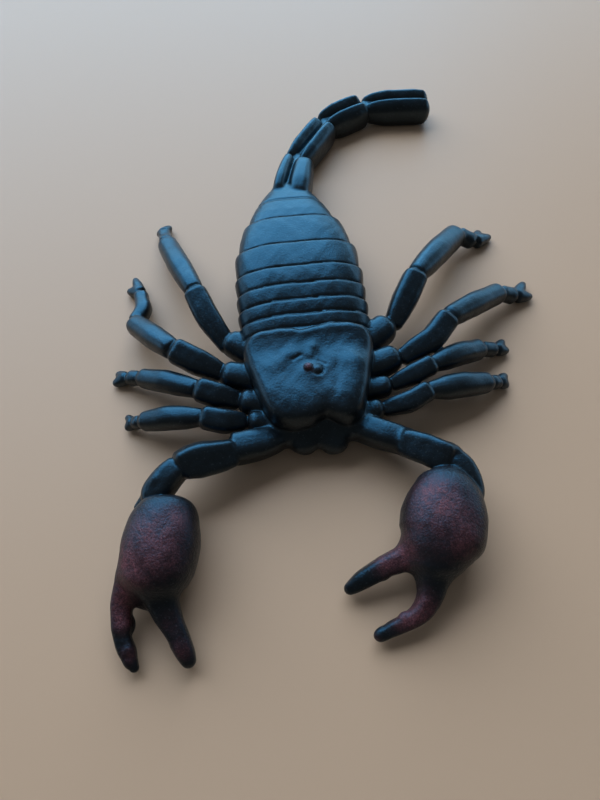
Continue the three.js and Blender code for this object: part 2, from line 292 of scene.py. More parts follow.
# ------------------------------------------------------------------ trunk
PLATE_EDGES = [-0.4, 4.2, 9.3, 15.1, 22.0, 32.0, 44.6, 63.0]
PLATE_RISE = [0.85, 0.95, 1.0, 1.05, 1.1, 1.05, 0.7]
BACK_WIDTH = [
    (-8, 16.8), (-5, 17.3), (0, 17.8), (6, 18.1), (14.5, 18.3), (22, 18.4), (30, 18.0), (36, 17.0),
    (41, 15.7), (47, 13.7), (54, 10.9), (58, 8.8), (61, 6.7), (62.6, 5.0), (63.4, 3.4),
]
BACK_TOP = [(-8, 16.4), (6, 16.4), (15, 16.3), (22, 15.9), (32, 14.9), (44, 13.2), (54, 11.6), (60, 10.4), (63.4, 9.6)]


def saw(y):
    """How far each back plate stands out, from its low front to its raised and rolled hind edge."""
    out = np.zeros_like(y)
    for i, rise in enumerate(PLATE_RISE):
        a, b = PLATE_EDGES[i], PLATE_EDGES[i + 1]
        inside = (y >= a) & (y < b)
        u = np.clip((y - a) / (b - a), 0, 1)
        r = 1.1
        d = np.clip(b - y, 0, r)
        rolled = 0.85 * (r - np.sqrt(np.clip(r * r - (r - d) ** 2, 0, None)))
        d0 = np.clip((y - a) / 1.2, 0, 1)
        low = 0.85 * (1 - d0) ** 2
        lift = rise * (1 - (1 - u) ** 1.7)
        if i == len(PLATE_RISE) - 1:
            rolled = np.zeros_like(rolled)
            lift = 0.35 * np.clip(u * 4, 0, 1) - 0.28 * np.exp(-(((y - 54.3) / 0.45) ** 2))
        out = np.where(inside, lift - rolled - low, out)
    return out


def back():
    """The banded hind part of the trunk."""
    y = np.arange(-8, 63.41, 0.2)
    sides = 180
    angle = np.linspace(0, 2 * math.pi, sides, endpoint=False)
    c, s = np.cos(angle)[None, :], np.sin(angle)[None, :]
    w, top = lookup(BACK_WIDTH, y)[:, None], lookup(BACK_TOP, y)[:, None]
    mid = 0.56 * top
    pu, pl = 2.75, 3.0
    x = np.where(
        s >= 0,
        np.sign(c) * np.abs(c) ** (2 / pu),
        np.sign(c) * np.abs(c) ** (2 / pl),
    ) * w
    z = np.where(s >= 0, np.abs(s) ** (2 / pu) * (top - mid), -np.abs(s) ** (2 / pl) * (mid + 0.35)) + mid
    yy = np.broadcast_to(y[:, None], x.shape)
    # outward across the ring
    dx, dz = np.roll(x, -1, 1) - np.roll(x, 1, 1), np.roll(z, -1, 1) - np.roll(z, 1, 1)
    ln = np.hypot(dx, dz) + 1e-9
    nx, nz = dz / ln, -dx / ln
    out = saw(yy - 0.03 * x + 0.12 * np.sin(x * 0.45 + 1.3) - 0.006 * x * x * 0.25)
    below = np.clip((mid - z) / mid, 0, 1)
    out = out * (1 - 0.8 * below)
    x, z = x + nx * out, z + nz * out
    points = np.stack([x, yy, z], -1).reshape(-1, 3)
    ends = np.array([[0, y[0], 8.0], [0, y[-1], 5.0]])
    return np.concatenate([points, ends]), tube_faces(len(y), sides)


SHIELD_OUTLINE = [
    (-1.6, -1.0), (-4.4, -0.2), (-9.0, -0.1), (-13.5, -0.6), (-16.4, -1.9), (-18.0, -4.4), (-17.8, -7.5), (-16.7, -12.2),
    (-15.4, -16.8), (-14.1, -21.2), (-12.5, -25.0), (-10.2, -27.4), (-6.6, -28.8), (-3.0, -28.6), (-0.6, -27.8), (2.2, -26.4),
    (4.6, -27.4), (6.6, -28.4), (8.6, -28.5), (10.8, -27.4), (12.8, -24.8), (14.1, -20.9), (15.4, -16.4), (16.7, -11.6),
    (17.6, -7.5), (17.8, -4.4), (16.4, -1.6), (12.8, 0.0), (7.4, 0.5), (2.4, -0.1),
]
SHIELD_TOP = [
    (-34, 6.4), (-31.5, 7.8), (-30, 10.5), (-29, 13.6), (-28.3, 15.1), (-27.5, 16.05), (-26.5, 16.6), (-25.2, 16.92), (-23.6, 17.1),
    (-22, 17.19), (-20, 17.22), (-18, 17.18), (-14, 16.95), (-10.5, 16.7), (-8, 16.75), (-4, 17.15), (-1.5, 17.65), (2, 17.8),
]


def outline_distance(x, y, outline):
    """Distance to a closed outline in the plane, less than zero inside."""
    p = np.asarray(outline, float)
    n = len(p)
    closed = np.concatenate([p[-2:], p, p[:2]])
    # a finer, smooth outline
    knot = np.arange(len(closed), dtype=float)
    q = np.linspace(2, n + 2, n * 6, endpoint=False)
    p = hermite(knot, closed, q)
    best = np.full(np.broadcast(x, y).shape, 1e9)
    inside = np.zeros(best.shape, bool)
    for a, b in zip(p, np.roll(p, -1, 0)):
        d = b - a
        t = np.clip(((x - a[0]) * d[0] + (y - a[1]) * d[1]) / (d @ d), 0, 1)
        best = np.minimum(best, (x - a[0] - t * d[0]) ** 2 + (y - a[1] - t * d[1]) ** 2)
        cross = ((a[1] > y) != (b[1] > y)) & (x < (b[0] - a[0]) * (y - a[1]) / (b[1] - a[1] + 1e-12) + a[0])
        inside ^= cross
    return np.where(inside, -1, 1) * np.sqrt(best)


def shield():
    """The head shield, with its eye mound, furrows and notched front."""
    f = Field([-20, -31, 1], [20, 2.5, 20])
    x, y, z = f.axes()
    x2, y2 = np.broadcast_arrays(x[:, :, 0], y[:, :, 0])
    top = lookup(SHIELD_TOP, y2)
    half = np.interp(y2, [-28, -25, -20, -12, -4, 0], [11, 12.5, 15, 17, 18.2, 17.5])
    top = top - 2.0 * np.clip(np.abs(x2) / half, 0, 1.08) ** 7
    # mound of the eyes, and the low ridge behind it
    top += 0.6 * bump(x2, y2, (0.1, -14.2), (3.0, 2.5))
    top += 0.5 * furrow(x2, y2, (0.6, -7.6), (-0.2, -9.6), 1.7)
    # ridge that runs out from the mound, with a short sharp furrow on its front
    top += 0.5 * furrow(x2, y2, (-11.0, -12.0), (-4.6, -8.8), 2.5)
    top -= 0.26 * furrow(x2, y2, (-4.8, -10.8), (-2.8, -9.7), 0.45)
    top += 0.4 * furrow(x2, y2, (13.0, -12.4), (5.4, -11.0), 2.8)
    top -= 0.22 * furrow(x2, y2, (2.0, -12.0), (3.4, -13.2), 0.5)
    # groove round one eye
    ring = np.hypot(x2 - 1.3, y2 + 14.6)
    turn = np.arctan2(y2 + 14.6, x2 - 1.3)
    top -= 0.55 * np.exp(-(((ring - 1.5) / 0.38) ** 2)) * (0.5 + 0.5 * np.cos(turn + 0.7))
    # flat sides, the left one rising outwards
    top += 0.35 * np.clip((x2 - 5.0) / 7.0, 0, 1) * np.exp(-(((y2 + 16.5) / 7.5) ** 4))
    top += 0.3 * furrow(x2, y2, (10.6, -12.0), (8.6, -22.0), 3.4)
    top -= 0.12 * furrow(x2, y2, (7.2, -10.0), (5.4, -22.0), 1.0)
    top += 0.2 * furrow(x2, y2, (-11.0, -12.0), (-8.6, -23.0), 3.0)
    # the notch in the front
    top -= 0.15 * furrow(x2, y2, (1.6, -19.0), (2.2, -23.0), 1.6)
    top -= 0.034 * np.clip(-20.6 - y2, 0, None) ** 2 * np.exp(-(((x2 - 2.5) / 2.7) ** 2))
    slope = np.sqrt(1 + np.gradient(top, STEP, axis=0) ** 2 + np.gradient(top, STEP, axis=1) ** 2)
    over = (z - top[:, :, None]) / slope[:, :, None]
    edge = outline_distance(x2, y2, SHIELD_OUTLINE)
    # the rim leans in towards the belly
    lean = 0.10 * np.clip(12 - z, 0, 12) ** 1.15
    wall = edge[:, :, None] + lean
    f.a[:] = np.clip(smax(over, wall, 2.3), -FAR, FAR)
    f.a[:] = smax(f.a, (4.0 - z) * np.ones_like(f.a), 0.6)
    return f


def trunk_field():
    parts = [
        (back(), 0),
        # what carries the legs, under the shield
        (loft([(0, -30.6, 3.8, 9.5, 3.4), (0, -27.4, 4.6, 11.6, 5.2), (0, -20, 6.0, 13.6, 7.5), (0, -10, 6.6, 15.6, 8.6), (0, 2, 6.6, 17.2, 8.6), (0, 8, 6.6, 17.0, 8.4)], (0.25, 0.2), 3.2, 60), 0.8),
        # mouth parts
        (loft([(-3.4, -24.5, 6.4, 4.0, 3.8), (-3.3, -29.4, 4.9, 4.3, 4.0), (-2.6, -32.6, 3.3, 3.4, 2.9)], (0.5, 0.9), 2.5), 1.6),
        (loft([(4.4, -24.5, 6.4, 3.9, 3.8), (4.1, -29.6, 4.9, 4.2, 4.0), (3.1, -33.2, 3.3, 3.3, 2.9)], (0.5, 0.9), 2.5), 1.6),
    ]
    whole = group(parts)
    whole.join(shield(), 0.35)
    for at, half in (((-1.1, -13.8, 17.35), (1.25, 1.2, 1.1)), ((1.3, -14.5, 17.15), (1.2, 1.15, 0.65))):
        whole.join(field_of(ball(at, half)), 0.15)
    return whole


# ------------------------------------------------------------------ legs
# the hip's block; then neck, thigh, knee, shin, ankle and foot; then two toe tips: x, y, z, radius
LEGS = {
    "leg_left_1": (
        [(11.5, -23.8, 6.8, 2.6), (15.6, -23.2, 7, 2.8), (19, -22.7, 7.2, 2.5)],
        [(20.2, -22.8, 7.6, 2.4), (26, -22.1, 8.9, 2.91), (31.4, -19.7, 9.8, 2.62),
         (41.2, -17.8, 7.6, 3.42), (50.3, -16.1, 4.7, 2.51), (53.9, -15.1, 2.7, 2.1)],
        [(57.1, -11.9, 1), (56.9, -15.7, 1)],
    ),
    "leg_left_2": (
        [(13, -17, 7, 2.7), (18, -16.5, 7.4, 2.9), (22.2, -16, 7.5, 2.6)],
        [(23.5, -15.2, 7.8, 2.4), (28.5, -13.9, 9.4, 2.81), (33.8, -12, 10.6, 2.53),
         (42.5, -7.9, 8, 3.22), (50.5, -4.8, 4.8, 2.81), (55.8, -4.3, 2.7, 2.2)],
        [(59.4, -0.2, 1), (60.1, -3.8, 1)],
    ),
    "leg_left_3": (
        [(14, -10.4, 7, 3.5), (20, -8.8, 7.4, 3.9), (26, -6.6, 7.6, 3.4)],
        [(27.5, -7, 8.1, 2.9), (34.9, -3.8, 10.1, 3.57), (41.1, 2.4, 11.8, 3.13),
         (50.5, 8.4, 8.9, 3.42), (60.9, 14.6, 5.3, 2.91), (66.8, 14.6, 2.7, 2.5)],
        [(71.7, 21, 1), (72.9, 15.5, 1)],
    ),
    "leg_left_4": (
        [(14.5, -2.4, 7, 3.9), (20, 0.8, 7.4, 4.3), (25.4, 4.6, 7.6, 3.9)],
        [(26.3, 5, 8.1, 3.3), (30.8, 12.4, 10.1, 3.78), (34.8, 18.9, 12, 3.23),
         (44.1, 29.6, 9.1, 3.92), (53.1, 39.6, 5.3, 3.41), (59.5, 37.8, 2.7, 2.6)],
        [(66, 41.6, 1), (62.6, 44.2, 1)],
    ),
    "leg_right_1": (
        [(-10.5, -24.2, 6.8, 2.5), (-16, -23.4, 7, 2.7), (-18.6, -23.3, 7.2, 2.5)],
        [(-20.6, -23.2, 7.6, 2.2), (-24.8, -23.3, 8.9, 3.21), (-30.1, -22, 9.8, 2.62),
         (-38.8, -20.3, 7.6, 3.22), (-47.1, -19.1, 4.7, 2.3), (-49.8, -18.3, 2.7, 1.9)],
        [(-52.2, -15.1, 1), (-52.4, -19, 1)],
    ),
    "leg_right_2": (
        [(-11.5, -18.8, 7, 2.9), (-17.4, -17.6, 7.4, 3.2), (-20.6, -17.1, 7.5, 2.9)],
        [(-21.6, -16.4, 7.8, 2.4), (-26.2, -15.4, 9.4, 3.32), (-31.3, -13.7, 10.6, 2.72),
         (-39.7, -9.1, 8, 3.12), (-47.7, -5.2, 4.8, 2.4), (-52, -3.6, 2.7, 2.2)],
        [(-55.7, -0.7, 1), (-56.6, -4.1, 1)],
    ),
    "leg_right_3": (
        [(-13, -11.2, 7, 3.4), (-20, -9.4, 7.4, 3.8), (-25.2, -7.9, 7.6, 3.5)],
        [(-25.6, -7.2, 8.1, 2.9), (-31.1, -4.7, 10.1, 3.63), (-37.5, -1.1, 11.8, 3.13),
         (-43.7, 5.9, 8.9, 3.42), (-50.2, 13.7, 5.3, 2.81), (-47.8, 19.7, 4.2, 2.51), (-49.1, 27.2, 2.7, 2.3)],
        [(-51.6, 34.7, 1), (-53.7, 29.8, 1)],
    ),
    "leg_right_4": (
        [(-14, -3, 7, 3.5), (-19, 0.2, 7.4, 3.8), (-23.2, 3.6, 7.6, 3.5)],
        [(-23, 2, 8.1, 3), (-27.9, 10.8, 10.1, 3.52), (-31.2, 18.9, 12, 3.03),
         (-36.1, 31.6, 9.1, 3.52), (-40.7, 44.5, 5.3, 3.01), (-42.1, 51.9, 2.7, 2.2)],
        [(-44.6, 53.3, 1), (-40.5, 56.1, 1)],
    ),
}


def mix(a, b, t):
    return np.asarray(a, float) * (1 - t) + np.asarray(b, float) * t


def leg_field(name, hip, path, toes):
    lean = 0.24 if "left" in name else -0.24  # the thigh's flat top leans to the head
    p = [np.array(q, float) for q in path]
    neck, thigh, knee, shin, ankle = p[:5]
    feet = p[5:]
    xyz = slice(0, 3)
    parts = [(loft([list(q[:2]) + [q[2] + 0.3 * i, q[3], q[3] * 1.04] for i, q in enumerate(hip)], (0.4, 0.85), 2.6), 0)]
    # thigh: narrow at the hip, full in the middle, with a lip over the knee
    d = unit(knee[xyz] - thigh[xyz])
    a = neck.copy()
    a[3] = thigh[3] * 0.66
    a[xyz] -= unit(thigh[xyz] - neck[xyz]) * 2.2
    a[2] -= 0.3
    b = mix(neck, thigh, 0.35)
    b[3] = thigh[3] * 0.88
    c = mix(thigh, knee, 0.62)
    c[3] = thigh[3] * 0.98
    e = knee.copy()
    e[xyz] += d * 0.9
    e[3] = knee[3] * 1.09
    parts.append((loft([a, b, thigh, c, e], (0.6, 0.62), 3.3, roll=lean), 0.3))
    # shin: slips out from under the lip, then swells
    out = unit(shin[xyz] - knee[xyz])
    a = knee.copy()
    a[xyz] -= out * 1.0
    a[3] = knee[3] * 0.8
    n = knee.copy()
    n[xyz] += out * 1.7
    n[3] = knee[3] * 0.97
    b = mix(knee, shin, 0.55)
    b[3] = shin[3] * 0.95
    c = mix(shin, ankle, 0.55)
    c[3] = mix(shin, ankle, 0.3)[3]
    e = ankle.copy()
    e[3] = ankle[3] * 1.06
    e[xyz] += unit(ankle[xyz] - shin[xyz]) * 0.9
    parts.append((loft([a, n, b, shin, c, e], (0.6, 0.85), 2.45), 0.15))
    # foot
    a = ankle.copy()
    a[3] = ankle[3] * 0.8
    rows = [a]
    for q in feet[:-1]:
        rows.append(q)
    foot = feet[-1]
    rows.append(mix(rows[-1], foot, 0.55))
    rows[-1][3] = foot[3] * 0.96
    rows.append(foot)
    parts.append((loft(rows, (0.6, 0.8), 2.6), 0.7))
    for t in toes:
        t = np.array(t, float)
        m = mix(foot[xyz], t, 0.55)
        parts.append((loft([np.append(foot[xyz], foot[3] * 0.8), np.append(m, foot[3] * 0.68), np.append(t, 0.8)], (0.5, 0.9), 2.3, 24), 0.9))
    return group(parts)


# ------------------------------------------------------------------ arms and claws
def arm_field(side):
    if side > 0:
        parts = [
            (loft([(7, -25.2, 5.0, 3.0), (12.7, -28.1, 6.8, 3.7), (16.4, -30.3, 7.3, 3.8), (20.2, -32.2, 7.7, 3.6), (24.4, -34.4, 8.0, 3.0)], (0.4, 0.6), 3.0), 0),
            (loft([(20.9, -33, 8.2, 3, 3.2), (23.6, -34.6, 8.8, 3.7, 3.8), (27, -36.9, 9.8, 4, 4.1), (30.1, -39.2, 10.6, 4, 4.1), (33.4, -41, 10.9, 3.4, 3.6)], (0.6, 0.5), 4.6, roll=0.5), 1.5),
            (loft([(31.6, -39.9, 10.6, 2.9, 3.2), (34.3, -42.4, 10.2, 3.3, 3.6), (35.7, -45.8, 9.4, 3.4, 3.7), (36.1, -49.3, 8.6, 3.2, 3.5), (35.5, -52.3, 8.2, 2.6, 3)], (0.6, 0.7), 2.9), 0.35),
            (ball((32.8, -38.9, 12.2), (2.6, 1.8, 2.2), -0.5), 0.8),
        ]
    else:
        parts = [
            (loft([(-7, -25.6, 5.0, 3.2), (-13.6, -29.6, 6.9, 3.7), (-18.1, -30.6, 7.5, 4.1), (-23.4, -31.3, 7.7, 4.1)], (0.4, 0.42), 3.0), 0),
            (loft([(-21.4, -32, 8.2, 3.2, 3.3), (-26.3, -33.4, 9.2, 4.1, 4.1), (-30.8, -34.4, 10.3, 4.5, 4.5), (-34.7, -35.7, 11.1, 3.9, 4), (-36.9, -36.8, 11.3, 3.1, 3.3)], (0.6, 0.6), 4.6, roll=-0.55), 1.0),
            (loft([(-35, -35.6, 11, 3, 3.2), (-38, -37.8, 10.4, 3.4, 3.6), (-40.4, -40.1, 9.6, 3.6, 3.8), (-42.1, -42.4, 8.8, 3.5, 3.7), (-41.9, -44.9, 8.4, 2.8, 3.2)], (0.6, 0.6), 3.0), 0.35),
            (loft([(-43.0, -41.4, 8.4, 2.2), (-45.8, -43.8, 8.0, 1.25), (-47.4, -45.3, 7.7, 0.7)], (0.5, 0.8), 2.2, 24), 0.7),
            (ball((-41.0, -39.6, 12.0), (1.9, 1.5, 1.6), 0.7), 0.7),
        ]
    return group(parts)


CLAWS = {
    "claw_left": (
        [(30.2, -42.4, 8.6, 3.4, 3.6), (30.2, -44.0, 8.7, 5.2, 5.5), (29.8, -46.3, 8.8, 7.1, 7.2), (29.0, -50.7, 9.0, 9.5, 8.4), (27.9, -55.0, 9.0, 10.5, 8.7), (26.7, -59.2, 8.9, 10.3, 8.5), (25.2, -62.6, 8.5, 8.7, 7.6), (24.2, -65.4, 7.8, 6.9, 6.2), (23.3, -68.6, 6.8, 4.9, 4.6)],
        [
            [(23.5, -60.4, 7.2, 4.0), (19.0, -62.3, 6.9, 3.4), (16.0, -63.5, 6.4, 3.0), (12.6, -64.4, 5.7, 2.65), (9.5, -65.6, 4.9, 2.45), (6.3, -66.9, 4.0, 2.2), (3.9, -68.1, 3.2, 1.65), (2.2, -68.8, 2.6, 1.1)],
            [(23.9, -64.6, 7.4, 5.0, 4.8), (22.7, -69.0, 6.6, 3.6), (21.4, -72.7, 5.6, 2.8), (19.0, -75.6, 4.6, 2.35), (15.7, -77.2, 3.8, 2.0), (12.0, -78.4, 3.2, 1.75), (9.6, -79.3, 2.8, 1.45), (7.8, -80.0, 2.4, 1.0)],
        ],
    ),
    "claw_right": (
        [(-38.6, -43.6, 8.6, 4.6, 4.8), (-38.7, -45.0, 8.7, 6.2, 6.4), (-39.1, -47.4, 8.8, 7.6, 7.7), (-39.9, -51.0, 8.9, 8.8, 8.3), (-40.6, -55.1, 8.9, 9.3, 8.5), (-41.5, -59.7, 8.6, 8.9, 8.1), (-42.8, -63.1, 7.8, 7.6, 7.0), (-43.5, -65.6, 6.9, 5.4, 5.2)],
        [
            [(-45.8, -58.6, 7.4, 4.0), (-47.7, -62.0, 6.9, 3.6), (-49.2, -64.6, 6.2, 3.0), (-50.2, -66.8, 5.4, 2.55), (-50.4, -69.4, 4.7, 2.4), (-50.3, -72.1, 4.1, 2.4), (-50.2, -74.4, 3.6, 2.0), (-49.4, -76.8, 3.0, 2.1), (-48.4, -79.2, 2.6, 1.6), (-47.2, -81.8, 2.0, 0.8)],
            [(-41.7, -59.6, 8.8, 6.6), (-41.4, -63.6, 8.0, 5.4), (-40.6, -67.2, 6.8, 4.0), (-38.9, -72.0, 5.3, 2.95), (-37.4, -75.1, 4.6, 2.5), (-36.3, -77.9, 4.0, 2.35), (-35.4, -80.1, 3.2, 1.95), (-34.8, -82.2, 2.6, 1.25)],
        ],
    ),
}
# teeth and steps on the fingers
FINGER_LUMPS = {
    "claw_left": [
        ((21.0, -73.2, 6.6), (2.2, 1.6, 1.6), 0.9),
        ((9.4, -79.2, 3.1), (2.0, 1.5, 1.5), 0.4),
        ((15.0, -76.2, 4.6), (1.5, 1.2, 1.2), 0.5),
        ((25.8, -68.6, 6.6), (2.4, 1.6, 2.2), 0.9),
        ((12.0, -66.4, 5.2), (1.6, 1.2, 1.3), 0.4),
        ((5.0, -67.8, 3.7), (1.7, 1.3, 1.3), 0.4),
    ],
    "claw_right": [
        ((-48.6, -71.6, 3.4), (1.2, 2.2, 1.4), 0.0),
        ((-48.8, -77.2, 3.6), (1.5, 1.6, 1.6), 0.0),
        ((-48.9, -79.6, 3.1), (1.1, 1.5, 1.2), 0.3),
        ((-38.0, -77.0, 4.1), (1.2, 1.6, 1.4), 0.3),
        ((-49.0, -64.6, 7.4), (2.2, 1.7, 2.2), 0.0),
        ((-44.7, -65.0, 4.4), (3.5, 3.6, 3.6), 0.4, 2.2),
    ],
}


def claw_field(name, hand, fingers):
    parts = [(loft(hand, (0.5, 0.6), 2.25, 60), 0)]
    for f in fingers:
        parts.append((loft(f, (0.5, 0.9), 2.9, roll=-0.35 if name == "claw_left" else 0.0), 2.8))
    for at, half, turn, *fillet in FINGER_LUMPS[name]:
        parts.append((ball(at, half, turn), fillet[0] if fillet else 0.55))
    return group(parts)


# ------------------------------------------------------------------ tail
# Each joint of the tail is a pair of long rounded lobes with a furrow between them: start, end, half width, half height,
# where the furrow lies across the joint, and how much the tops lean to its right.
TAIL = [
    ((1.0, 60.6, 6.7), (5.4, 77.4, 5.8), (6.9, 5.4), (5.9, 5.1), 0.26, 0.05),
    ((5.2, 78.6, 5.4), (17.0, 96.0, 5.1), (5.1, 5.1), (5.0, 4.9), 0.0, 0.2),
    ((17.9, 97.9, 5.0), (32.6, 105.3, 4.9), (5.1, 5.1), (4.9, 4.8), 0.0, 0.26),
    ((35.2, 105.5, 4.9), (57.0, 104.7, 4.8), (5.1, 5.1), (4.8, 4.7), 0.0, 0.28),
]


def tail_field():
    parts = []
    for i, (a, b, wide, high, part, lean) in enumerate(TAIL):
        a, b = np.array(a), np.array(b)
        d = b - a
        flat = unit([-d[1], d[0], 0])
        w0, w1 = wide
        h0, h1 = high
        core = []
        for q, w, h in (
            (a - unit(d) * 2.6, w0 * 0.60, h0 * 0.62),
            ((a + b) / 2, (w0 + w1) * 0.36, (h0 + h1) * 0.34),
            (b + unit(d) * (2.6 if i < 3 else -1.2), w1 * 0.60, h1 * 0.62),
        ):
            core.append([q[0], q[1], q[2] - 0.5, w, h])
        parts.append((loft(core, (0.4, 0.4), 2.6), 0.5))
        for s, lo, hi in ((-1, -1.0, part), (1, part, 1.0)):
            rows = []
            for t, k in ((-0.17, 0.5), (0.02, 0.84), (0.3, 1.0), (0.65, 1.02), (1, 0.92)):
                u = max(t, 0)
                w, h = w0 + (w1 - w0) * u, h0 + (h1 - h0) * u
                q = a + d * t + flat * w * (lo + hi) / 2 * (0.98 if k < 1 else 1.02)
                rows.append([*q, w * (hi - lo) / 2 * 0.96 * k, h * 0.98 * k])
            parts.append((loft(rows, (1.1, 1.1), sides=48, section=slanted(2.9, lean)), 0.3))
    return group(parts)


# ------------------------------------------------------------------ the skin
FIELDS = {"trunk": trunk_field(), "tail": tail_field()}
for name, (hip, path, toes) in LEGS.items():
    FIELDS[name] = leg_field(name, hip, path, toes)
for name, (hand, fingers) in CLAWS.items():
    FIELDS[name] = claw_field(name, hand, fingers)
FIELDS["arm_left"] = arm_field(1)
FIELDS["arm_right"] = arm_field(-1)

FILLET = {"tail": 0.8, "claw_left": 0.5, "claw_right": 0.5, "arm_left": 1.6, "arm_right": 1.6}

skin = Field([-60, -86, 0], [76, 114, 20])
skin.join(FIELDS["trunk"], 0)
for name in ["arm_left", "arm_right", "tail"] + sorted(LEGS) + sorted(CLAWS):
    skin.join(FIELDS[name], FILLET.get(name, 1.0))

# hand-cut unevenness, then the flat underside with its shallow plate lines
x, y, z = (v.astype(np.float32) for v in skin.axes())
skin.a += 0.07 * np.sin(0.55 * x + 0.8 * np.sin(0.31 * y) + 1.0) * np.sin(0.5 * y + 0.9 * np.sin(0.4 * x) + 0.5) * np.cos(0.4 * z)
skin.a += 0.035 * np.sin(1.3 * x + 0.9 * np.sin(0.6 * y)) * np.sin(1.17 * y + 1.1 * np.sin(0.5 * x) + 2.0) * np.cos(0.9 * z + 0.4)
x2, y2 = np.broadcast_arrays(x[:, :, 0], y[:, :, 0])
lift = np.zeros(x2.shape)
for at in (6.0, 16.0, 27.0, 39.0, 51.0):
    lift += 0.5 * np.exp(-(((y2 - at + 0.004 * x2 * x2) / 0.55) ** 2))
for sign in (-1, 1):
    for at, to in ((-4.0, 3.0), (-12.0, -9.0), (-19.0, -19.5), (-24.5, -28.0)):
        lift += 0.45 * furrow(x2, y2, (2.6 * sign, at), (15.0 * sign, to), 0.6)
lift += 0.4 * furrow(x2, y2, (0, -2), (0, -28), 0.6)
skin.a[:] = np.clip(smax(skin.a, lift[:, :, None].astype(np.float32) - z, 0.5), -FAR, FAR)

grid = vdb.FloatGrid(FAR)
grid.transform = GRID
grid.copyFromArray(skin.a, ijk=tuple(int(v) for v in skin.at))
points, quads = grid.convertToQuads(0.0)
points, quads = np.array(points, float), np.array(quads, int)

# normals from the field itself
h = 0.6 * STEP
normals = np.stack(
    [skin.read(points + h * np.eye(3)[i]) - skin.read(points - h * np.eye(3)[i]) for i in range(3)], -1
)
normals /= np.linalg.norm(normals, axis=1)[:, None] + 1e-12
# faces the right way round
p = points[quads]
across = np.cross(p[:, 2] - p[:, 0], p[:, 3] - p[:, 1])
if (np.einsum("ij,ij->i", across, normals[quads[:, 0]]) < 0).mean() > 0.5:
    quads = quads[:, ::-1]

# ------------------------------------------------------------------ pieces
NAMES = list(FIELDS)
middle = points[quads].mean(1)
near = np.stack([FIELDS[n].read(middle) for n in NAMES], -1)
label = near.argmin(1)


def closed_piece(faces):
    """The faces' own points, with every open rim closed by a fan to its middle."""
    used, local = np.unique(faces, return_inverse=True)
    local = local.reshape(faces.shape)
    a, b = local.ravel(), np.roll(local, -1, 1).ravel()
    n = len(used)
    there = set((a * n + b).tolist())
    rim = [(int(i), int(j)) for i, j in zip(a, b) if int(j) * n + int(i) not in there]
    follow = {}
    for i, j in rim:
        follow.setdefault(i, []).append(j)
    fans, extra = [], []
    while follow:
        start = next(iter(follow))
        loop = [start]
        while True:
            nxt = follow[loop[-1]].pop()
            if not follow[loop[-1]]:
                del follow[loop[-1]]
            if nxt == start:
                break
            loop.append(nxt)
            if nxt not in follow:
                break
        if len(loop) < 3:
            continue
        centre = n + len(extra)
        extra.append(points[used[loop]].mean(0))
        for i, j in zip(loop, loop[1:] + loop[:1]):
            fans.append((j, i, centre))
    return used, local, fans, extra


pieces = {}
for i, name in enumerate(NAMES):
    faces = quads[label == i]
    used, local, fans, extra = closed_piece(faces)
    co = np.concatenate([points[used], np.array(extra).reshape(-1, 3)]) * 0.001
    mesh = bpy.data.meshes.new(name + "_skin")
    mesh.from_pydata(co.tolist(), [], local.tolist() + [list(f) for f in fans])
    mesh.update()
    mesh.polygons.foreach_set("use_smooth", np.ones(len(mesh.polygons), bool))
    no = np.concatenate([normals[used], np.tile([0.0, 0.0, 1.0], (len(extra), 1))])
    mesh.normals_split_custom_set_from_vertices(no.tolist())
    o = bpy.data.objects.new(name + "_skin", mesh)
    bpy.context.scene.collection.objects.link(o)
    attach(o, "root")
    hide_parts(name)
    pieces[name] = o
print("quads", len(quads), {n: len(o.data.polygons) for n, o in pieces.items()})


# ------------------------------------------------------------------ finish
# airbrushed patches: x, y, z, reach in mm, strength
PAINT = {
    "claw_left": [
        (24.6, -50.4, 16.8, 3.8, 1.0), (26.2, -54.0, 17.4, 3.6, 0.9), (22.6, -53.0, 16.4, 3.0, 0.6), (30.0, -64.0, 15.6, 3.4, 0.45),
        (31.4, -59.6, 16.6, 3.4, 0.35), (20.4, -57.0, 15.0, 3.0, 0.35), (16.6, -62.6, 9.6, 3.4, 0.8), (12.8, -64.0, 8.5, 3.0, 0.8),
        (18.6, -75.0, 7.0, 3.6, 0.72), (15.2, -77.0, 5.8, 2.8, 0.72), (20.4, -61.0, 10.6, 3.0, 0.55),
        (27.0, -57.0, 17.4, 8.5, 0.34),
        (7.8, -80.2, 3.0, 1.1, 0.5),
    ],
    "claw_right": [
        (-46.8, -59.6, 14.4, 4.0, 1.0), (-45.6, -63.0, 14.2, 3.0, 0.7), (-49.2, -64.8, 9.6, 2.6, 0.75), (-49.9, -67.8, 7.7, 2.6, 0.9),
        (-49.9, -70.8, 6.7, 2.4, 0.75), (-48.2, -78.3, 4.7, 1.8, 0.4), (-36.1, -51.2, 15.9, 3.2, 0.55), (-40.2, -54.6, 17.2, 4.6, 0.5),
        (-38.2, -59.2, 16.4, 4.4, 0.35), (-41.0, -57.0, 16.8, 7.5, 0.3), (-36.4, -78.6, 6.1, 2.4, 0.35), (-38.4, -72.8, 7.8, 2.6, 0.2), (-43.6, -52.4, 16.0, 3.4, 0.45),
    ],
    "trunk": [(-1.1, -13.9, 18.8, 1.15, 1.0)],
}
for name, spots in PAINT.items():
    mesh = pieces[name].data
    co = np.empty(len(mesh.vertices) * 3)
    mesh.vertices.foreach_get("co", co)
    co = co.reshape(-1, 3) * 1000
    paint = np.zeros(len(co))
    for px, py, pz, reach, strength in spots:
        away = ((co - [px, py, pz]) ** 2).sum(1) / reach**2
        paint = 1 - (1 - paint) * (1 - strength * np.exp(-away))
    mesh.attributes.new("paint", "FLOAT", "POINT").data.foreach_set("value", paint.astype(np.float32))


